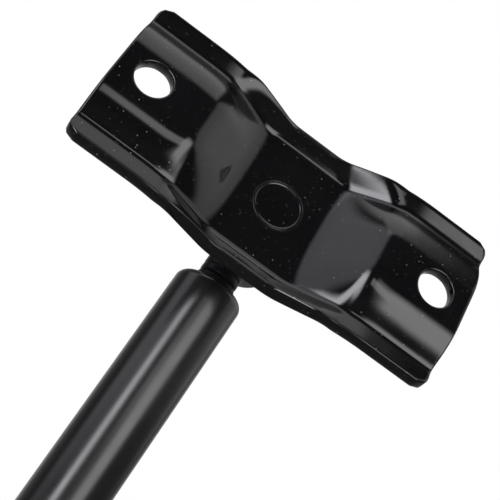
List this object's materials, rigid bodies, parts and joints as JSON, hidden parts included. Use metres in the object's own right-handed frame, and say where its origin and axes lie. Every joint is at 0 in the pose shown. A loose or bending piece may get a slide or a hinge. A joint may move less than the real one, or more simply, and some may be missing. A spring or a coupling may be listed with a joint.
{
  "type": "gas strut stay",
  "caption": "Gas strut stay with a stamped bolt-on bracket, ball joints at both ends and a rod that slides in a pressure tube, for windows and shutters.",
  "frame": {"origin": "midway between the two bolt holes, on the bracket's mounting plane", "axes": "+X along the line of the bolt holes, -Z down the strut from the bracket to the lower ball stud, swung 0.9 degrees about the ball stud as in the picture, the mounting face looks towards -Y and 12 degrees up"},
  "size_m": [0.098, 0.0494, 0.5135],
  "materials": {
    "black_paint": "gloss black coat",
    "black_steel": "satin black plating",
    "bright_steel": "zinc plated",
    "rod_chrome": "polished hard chrome",
    "seal_rubber": "matt",
    "white_nylon": "moulded",
    "guide_brass": "turned"
  },
  "bodies": {
    "bracket": {"mounting_bracket": "black_paint", "upper_ball_stud": "black_steel"},
    "upper_swivel": {"upper_dust_seal": "seal_rubber"},
    "tube": {"upper_ball_liner": "white_nylon", "upper_socket": "black_steel", "upper_retaining_clip": "bright_steel", "upper_lock_ring": "black_steel", "tube_end_plug": "bright_steel", "pressure_tube": "black_paint", "rod_guide": "guide_brass", "rod_seal": "seal_rubber", "seal_backup_washer": "bright_steel"},
    "piston_seal": {"piston_ring": "white_nylon"},
    "rod": {"piston_rod": "rod_chrome", "piston": "bright_steel", "piston_stop_washer": "bright_steel", "piston_support_washer": "bright_steel", "rebound_buffer": "seal_rubber", "lower_lock_nut": "bright_steel", "lower_socket": "black_steel", "lower_ball_liner": "white_nylon", "lower_retaining_clip": "bright_steel"},
    "lower_swivel": {"lower_dust_seal": "seal_rubber"},
    "lower_stud": {"lower_ball_stud": "bright_steel", "lower_spring_washer": "bright_steel", "lower_stud_nut": "bright_steel"}
  },
  "joints": [
    {"name": "upper_swivel", "type": "hinge", "parent": "bracket", "child": "upper_swivel", "pos_m": [0, 0.02788, -0.00593], "axis": [0, -0.9781, 0.2079], "continuous": true},
    {"name": "upper_tilt", "type": "hinge", "parent": "upper_swivel", "child": "tube", "pos_m": [0, 0.02788, -0.00593], "axis": [0.9999, -0.0033, -0.0154], "range_deg": [-18, 6]},
    {"name": "rod_slide", "type": "slide", "parent": "tube", "child": "piston_seal", "axis": [0.0154, 0, 0.9999], "range_m": [0, 0.19], "stiffness_N_per_m": 237, "springref_m": -0.633},
    {"name": "rod_spin", "type": "hinge", "parent": "piston_seal", "child": "rod", "pos_m": [-0.00461, 0.02788, -0.30589], "axis": [0.0154, 0, 0.9999], "continuous": true},
    {"name": "lower_tilt", "type": "hinge", "parent": "rod", "child": "lower_swivel", "pos_m": [-0.00734, 0.02789, -0.48337], "axis": [0.9999, 0, -0.0154], "range_deg": [-18, 18]},
    {"name": "lower_swivel", "type": "hinge", "parent": "lower_swivel", "child": "lower_stud", "pos_m": [-0.00734, 0.02789, -0.48337], "axis": [0, -1, 0], "continuous": true}
  ]
}
